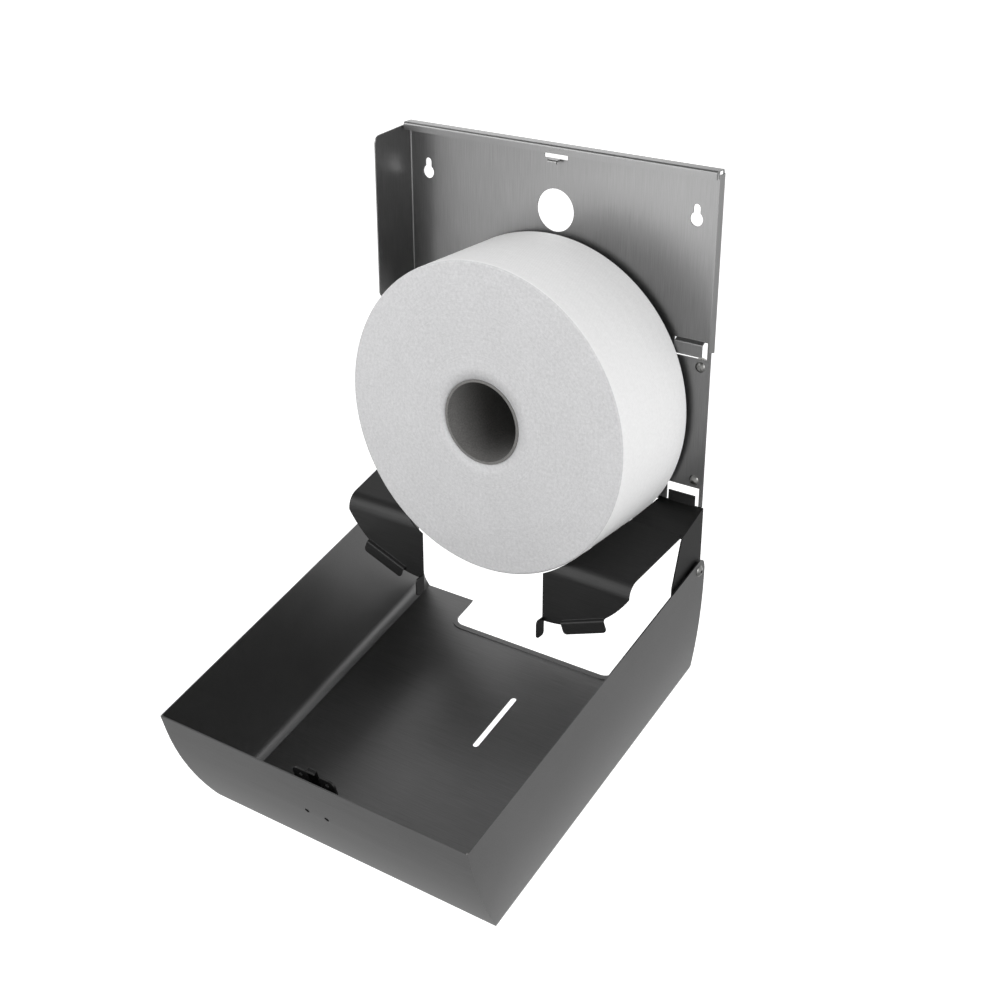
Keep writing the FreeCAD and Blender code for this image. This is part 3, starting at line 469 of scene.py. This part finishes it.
class DISPENSER_OT_roll(bpy.types.Operator):
    """Builds the wound tissue roll and dresses its board core."""
    bl_idname = "dispenser.roll"
    bl_label = "Paper roll"

    def execute(self, context):
        s = context.scene.dispenser
        low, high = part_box("paper_roll")
        bore_low, bore_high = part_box("roll_core")
        centre = Vector(((low.x + high.x) / 2, (low.y + high.y) / 2, (low.z + high.z) / 2))
        outer = (high.x - low.x) / 2
        inner = (bore_high.x - bore_low.x) / 2 + CORE_FIT
        front, back = low.y, high.y
        rim = s.rim_round
        # The section: face, slightly dished towards the core, rounded rim, outside
        section = [(inner, front + FACE_DISH), (inner + FACE_DISH_STEP, front + FACE_DISH_MIDDLE),
                   (outer * FACE_FLAT_SHARE, front + FACE_FLAT_DEPTH), (outer - rim, front)]
        for i in range(1, RIM_STEPS + 1):
            turn = math.pi / 2 * i / RIM_STEPS
            section.append((outer - rim + rim * math.sin(turn),
                            front + rim - rim * math.cos(turn)))
        for i in range(1, WINDING_ROWS):
            section.append((outer - WINDING_DEPTH * math.sin(WINDING_TURN * i) ** 2,
                            front + rim + (back - front - 2 * rim) * i / WINDING_ROWS))
        for i in range(RIM_STEPS + 1):
            turn = math.pi / 2 * (1 - i / RIM_STEPS)
            section.append((outer - rim + rim * math.sin(turn),
                            back - rim + rim * math.cos(turn)))
        section += [(outer * FACE_FLAT_SHARE, back - FACE_FLAT_DEPTH), (inner, back - BACK_DISH)]
        mesh = bmesh.new()
        rings = []
        for step in range(s.roll_steps):
            turn = 2 * math.pi * step / s.roll_steps
            rings.append([mesh.verts.new((centre.x + r * math.cos(turn), y,
                                          centre.z + r * math.sin(turn))) for r, y in section])
        for ring, after in zip(rings, rings[1:] + rings[:1]):
            for i in range(len(section)):
                mesh.faces.new((ring[i - 1], ring[i], after[i], after[i - 1]))
        piece = new_object("tissue_roll", mesh)
        piece.data.polygons.foreach_set("use_smooth", [True] * len(piece.data.polygons))
        piece.data.materials.append(wound_tissue("Embossed recycled tissue", s.shaded_face_dark,
                                                 s.shaded_face_light, centre))
        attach(piece, "roll")
        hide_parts("paper_roll")
        dress("roll_core", wound_board("Wound grey board", "#646362", "#807f7d"))
        return {"FINISHED"}


class DISPENSER_OT_stage(bpy.types.Operator):
    """Builds the floor, the room light, the softboxes and the camera."""
    bl_idname = "dispenser.stage"
    bl_label = "Studio"

    def execute(self, context):
        s = context.scene.dispenser
        scene = context.scene
        scene.view_settings.view_transform = "Standard"
        floor_z = CAD_BOX[0][2] - s.floor_drop
        mesh = bmesh.new()
        bmesh.ops.create_grid(mesh, x_segments=1, y_segments=1, size=FLOOR_HALF,
                              matrix=Matrix.Translation((0, 0, floor_z)))
        floor = new_object("studio_floor", mesh)
        material, tree, shader = surface("White studio floor", {"Roughness": 0.9,
                                                                "Base Color": srgb("#e8e8e8")})
        glow = add(tree, "ShaderNodeEmission", values={"Strength": FLOOR_GLOW})
        dark = add(tree, "ShaderNodeEmission", values={"Strength": 0.0})
        chosen = add(tree, "ShaderNodeMixShader",
                     links={0: looking_ray(tree), 1: dark.outputs["Emission"],
                            2: glow.outputs["Emission"]})
        both = add(tree, "ShaderNodeAddShader",
                   links={0: shader.outputs["BSDF"], 1: chosen.outputs["Shader"]})
        tree.links.new(both.outputs["Shader"], tree.nodes["Material Output"].inputs["Surface"])
        floor.data.materials.append(material)
        self.room(scene, s)
        self.softbox("Key softbox", (-1.3, -1.7, 0.9), (0, -0.1, -0.1), 1.4, s.key_power)
        self.softbox("Fill softbox", (1.9, -0.9, 0.5), (0, -0.1, -0.1), 1.2, s.fill_power)
        self.softbox("Overhead softbox", (-0.88, 0.46, 0.8), (-0.05, -0.2, -0.4), 0.45,
                     s.over_power)
        # Glowing cards that only the steel mirrors, as painted reflections that set the tone of the
        # plate and of the cover's walls
        card_z = floor_z + CARD_HEIGHT
        self.card("near_card", (-1.3, -1.4), (0.3, 0.5), card_z, 0.54)
        self.card("far_card", (-3.2, -4.2), (0.3, -1.4), card_z, 0.06)
        self.card("side_card", (0.3, -1.4), (3.4, 3.2), card_z, 0.56)
        self.softbox("Rim softbox", (-1.15, 1.62, 0.97), (0, 0, 0), 0.7, s.rim_power)
        self.softbox("Low softbox", (-0.55, -1.5, -0.35), (0.1, 0, 0), 0.7, s.low_power)
        self.camera(scene)
        return {"FINISHED"}

    def card(self, name, low, high, height, strength):
        """A grey card over the floor that glows and that only the steel mirrors: a painted reflection
        of darker parts of the room.
        """
        mesh = bmesh.new()
        corners = [low, (high[0], low[1]), high, (low[0], high[1])]
        mesh.faces.new([mesh.verts.new((x, y, height)) for x, y in corners])
        card = new_object(name, mesh)
        board, _, _ = surface("Glowing reflection card", {"Roughness": 0.95, "Base Color": srgb("#101010"),
                                            "Emission Color": srgb("#ffffff"),
                                            "Emission Strength": strength})
        card.data.materials.append(board)
        card.visible_camera = False
        card.visible_diffuse = False
        card.visible_shadow = False

    def room(self, scene, s):
        """White all round with a greyer ceiling, seen by the camera and mirrored by the steel,
        and a plain grey for the light that it sheds."""
        world = bpy.data.worlds.new("Studio room")
        scene.world = world
        world.use_nodes = True
        tree = world.node_tree
        tree.nodes.clear()
        place = add(tree, "ShaderNodeTexCoord").outputs["Generated"]
        parts = add(tree, "ShaderNodeSeparateXYZ", links={"Vector": place})
        walls = ramp(tree, parts.outputs["Z"], [(0.0, "#ffffff"), (0.45, "#ffffff"),
                                                (0.62, "#a2a2a2"), (1.0, "#8c8c8c")])
        shown = add(tree, "ShaderNodeBackground", links={"Color": walls.outputs["Color"]},
                    values={"Strength": 1.0})
        shed = add(tree, "ShaderNodeBackground",
                   values={"Color": list(s.studio_grey) + [1.0], "Strength": 1.0})
        chosen = add(tree, "ShaderNodeMixShader",
                     links={0: looking_ray(tree), 1: shed.outputs["Background"],
                            2: shown.outputs["Background"]})
        add(tree, "ShaderNodeOutputWorld", links={"Surface": chosen.outputs["Shader"]})

    def softbox(self, name, place, aim, size, power):
        """A square area lamp that looks at a point and that the camera doesn't see."""
        light = bpy.data.lights.new(name, "AREA")
        light.shape = "SQUARE"
        light.size = size
        light.energy = power
        lamp = bpy.data.objects.new(name, light)
        lamp.location = place
        lamp.rotation_euler = (Vector(aim) - Vector(place)).to_track_quat("-Z", "Y").to_euler()
        lamp.visible_camera = False
        bpy.context.scene.collection.objects.link(lamp)

    def camera(self, scene):
        """The photo's camera."""
        data = bpy.data.cameras.new("Photo camera")
        data.sensor_width = CAMERA_SENSOR
        data.lens = CAMERA_LENS
        data.clip_start = CAMERA_NEAR
        data.clip_end = CAMERA_FAR
        camera = bpy.data.objects.new("Photo camera", data)
        camera.location = CAMERA_PLACE
        camera.rotation_euler = (math.radians(90 - CAMERA_ELEVATION), 0,
                                 math.radians(CAMERA_AZIMUTH))
        scene.collection.objects.link(camera)
        scene.camera = camera


class DISPENSER_PT_panel(bpy.types.Panel):
    """Lists the pieces and the settings in the sidebar."""
    bl_idname = "DISPENSER_PT_panel"
    bl_label = "Dispenser"
    bl_space_type = "VIEW_3D"
    bl_region_type = "UI"
    bl_category = "Dispenser"

    def draw(self, context):
        for name in DispenserSettings.__annotations__:
            self.layout.prop(context.scene.dispenser, name)
        for operator in OPERATORS:
            self.layout.operator(operator.bl_idname)


OPERATORS = (DISPENSER_OT_sheet, DISPENSER_OT_fasteners, DISPENSER_OT_mouldings,
             DISPENSER_OT_welds, DISPENSER_OT_roll, DISPENSER_OT_stage)
CLASSES = (DispenserSettings,) + OPERATORS + (DISPENSER_PT_panel,)


def register():
    for item in CLASSES:
        bpy.utils.register_class(item)
    bpy.types.Scene.dispenser = PointerProperty(type=DispenserSettings)


def unregister():
    del bpy.types.Scene.dispenser
    for item in reversed(CLASSES):
        bpy.utils.unregister_class(item)


def main():
    register()
    bpy.ops.dispenser.sheet()
    bpy.ops.dispenser.fasteners()
    bpy.ops.dispenser.mouldings()
    bpy.ops.dispenser.welds()
    bpy.ops.dispenser.roll()
    bpy.ops.dispenser.stage()


if __name__ == "__main__":
    main()
